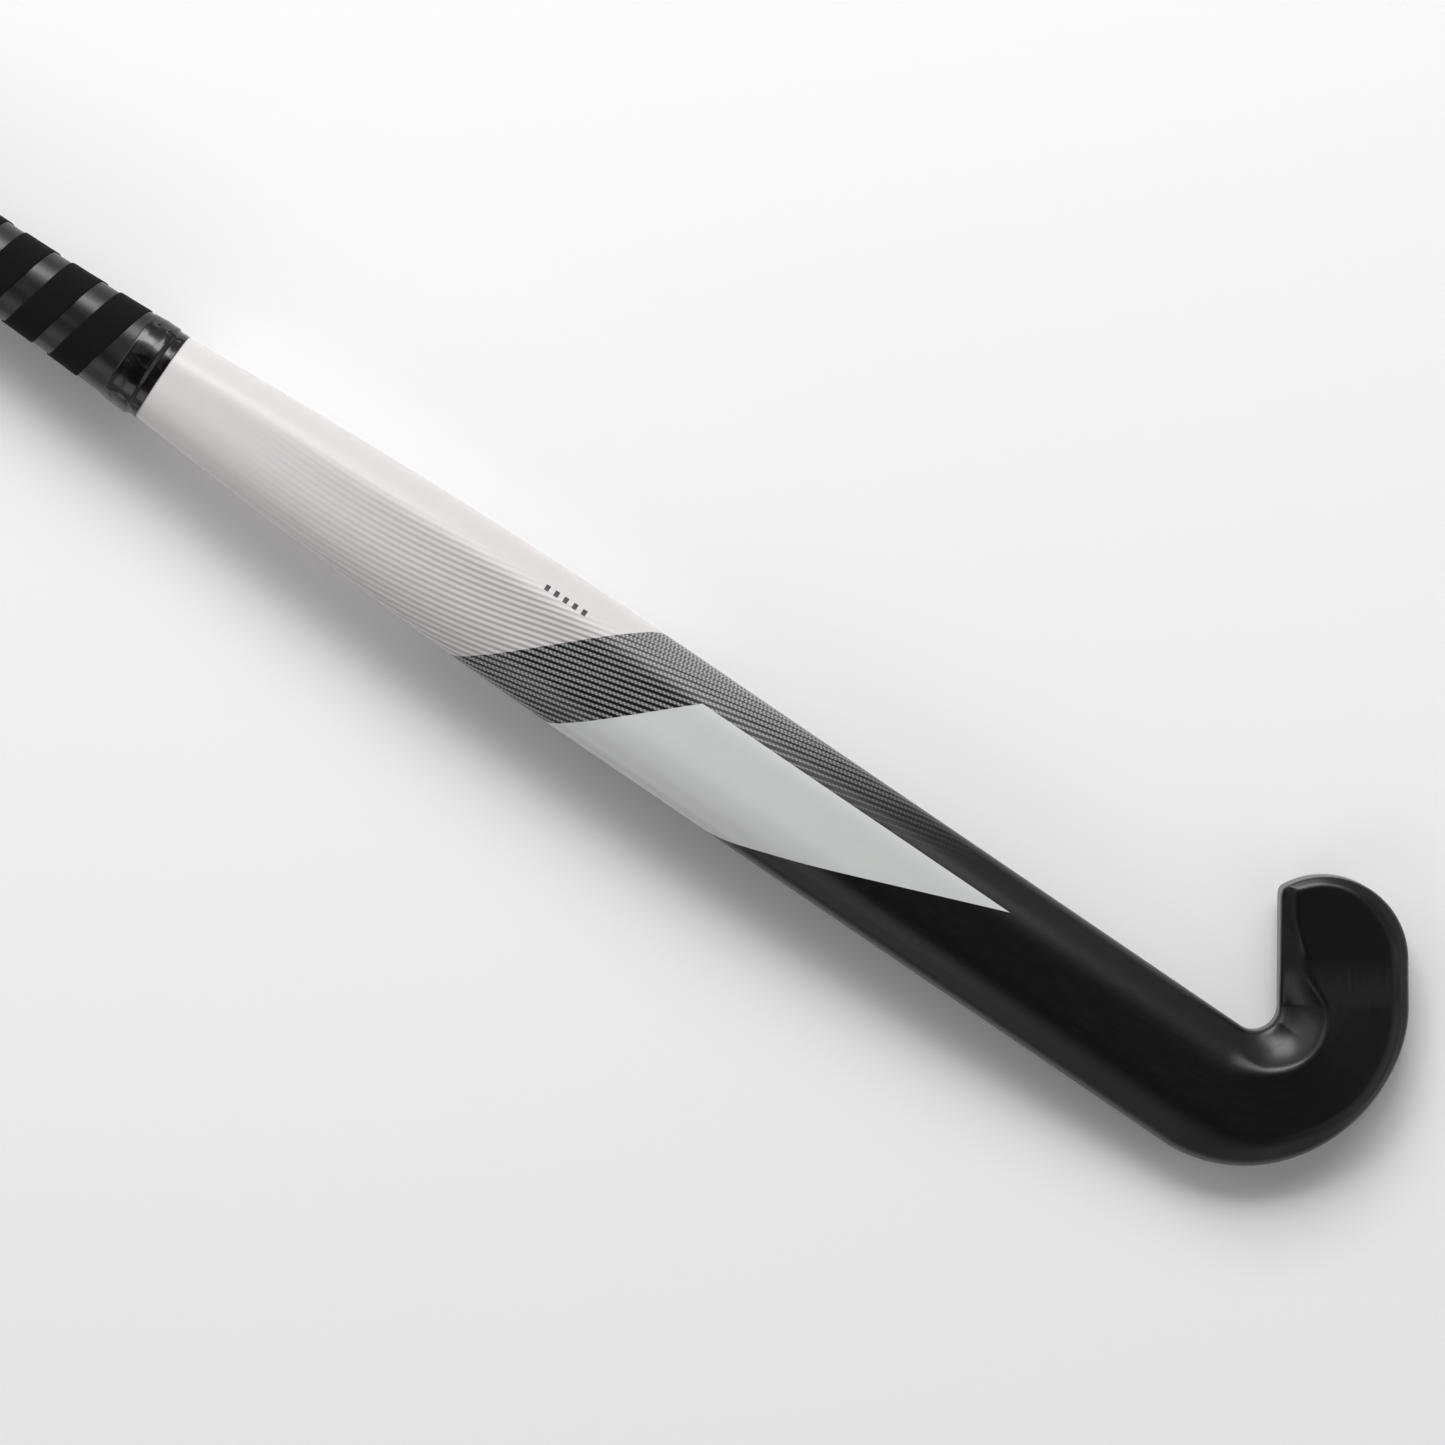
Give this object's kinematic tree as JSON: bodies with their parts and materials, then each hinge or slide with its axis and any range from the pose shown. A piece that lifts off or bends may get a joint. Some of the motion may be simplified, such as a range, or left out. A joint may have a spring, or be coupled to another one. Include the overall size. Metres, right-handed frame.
{
  "type": "field hockey stick",
  "caption": "Junior composite field hockey stick with a bowed oval shaft, deep J-shaped hook, flat playing face, rounded bevelled back and spiral-wrapped handle grip.",
  "frame": {"origin": "centre of the stick's plan box, at the lowest point of the flat playing face's side, so that the stick lies face down on Z = 0", "axes": "+X along the shaft from the butt to the head, +Y towards the toe, +Z out of the rounded back; the flat playing face looks to -Z"},
  "size_m": [0.7621, 0.1066, 0.0389],
  "materials": {
    "painted_composite": "satin",
    "face_composite": "gloss",
    "aramid": "satin",
    "core_foam": "matte",
    "carbon_tube": "satin",
    "bladder_nylon": "satin",
    "plug_foam": "matte",
    "cap_rubber": "matte",
    "grip_film": "satin",
    "grip_suede": "matte",
    "tape_vinyl": "gloss"
  },
  "bodies": {
    "root": {"outer_laminate": "painted_composite", "face_plate": "face_composite", "edge_strip": "aramid", "head_core": "core_foam", "front_tube": "carbon_tube", "rear_tube": "carbon_tube", "front_bladder": "bladder_nylon", "rear_bladder": "bladder_nylon", "handle_plug": "plug_foam", "butt_cap": "cap_rubber", "grip_ribbon": "grip_film", "grip_ridge_strip": "grip_suede", "finishing_tape": "tape_vinyl"}
  },
  "joints": []
}
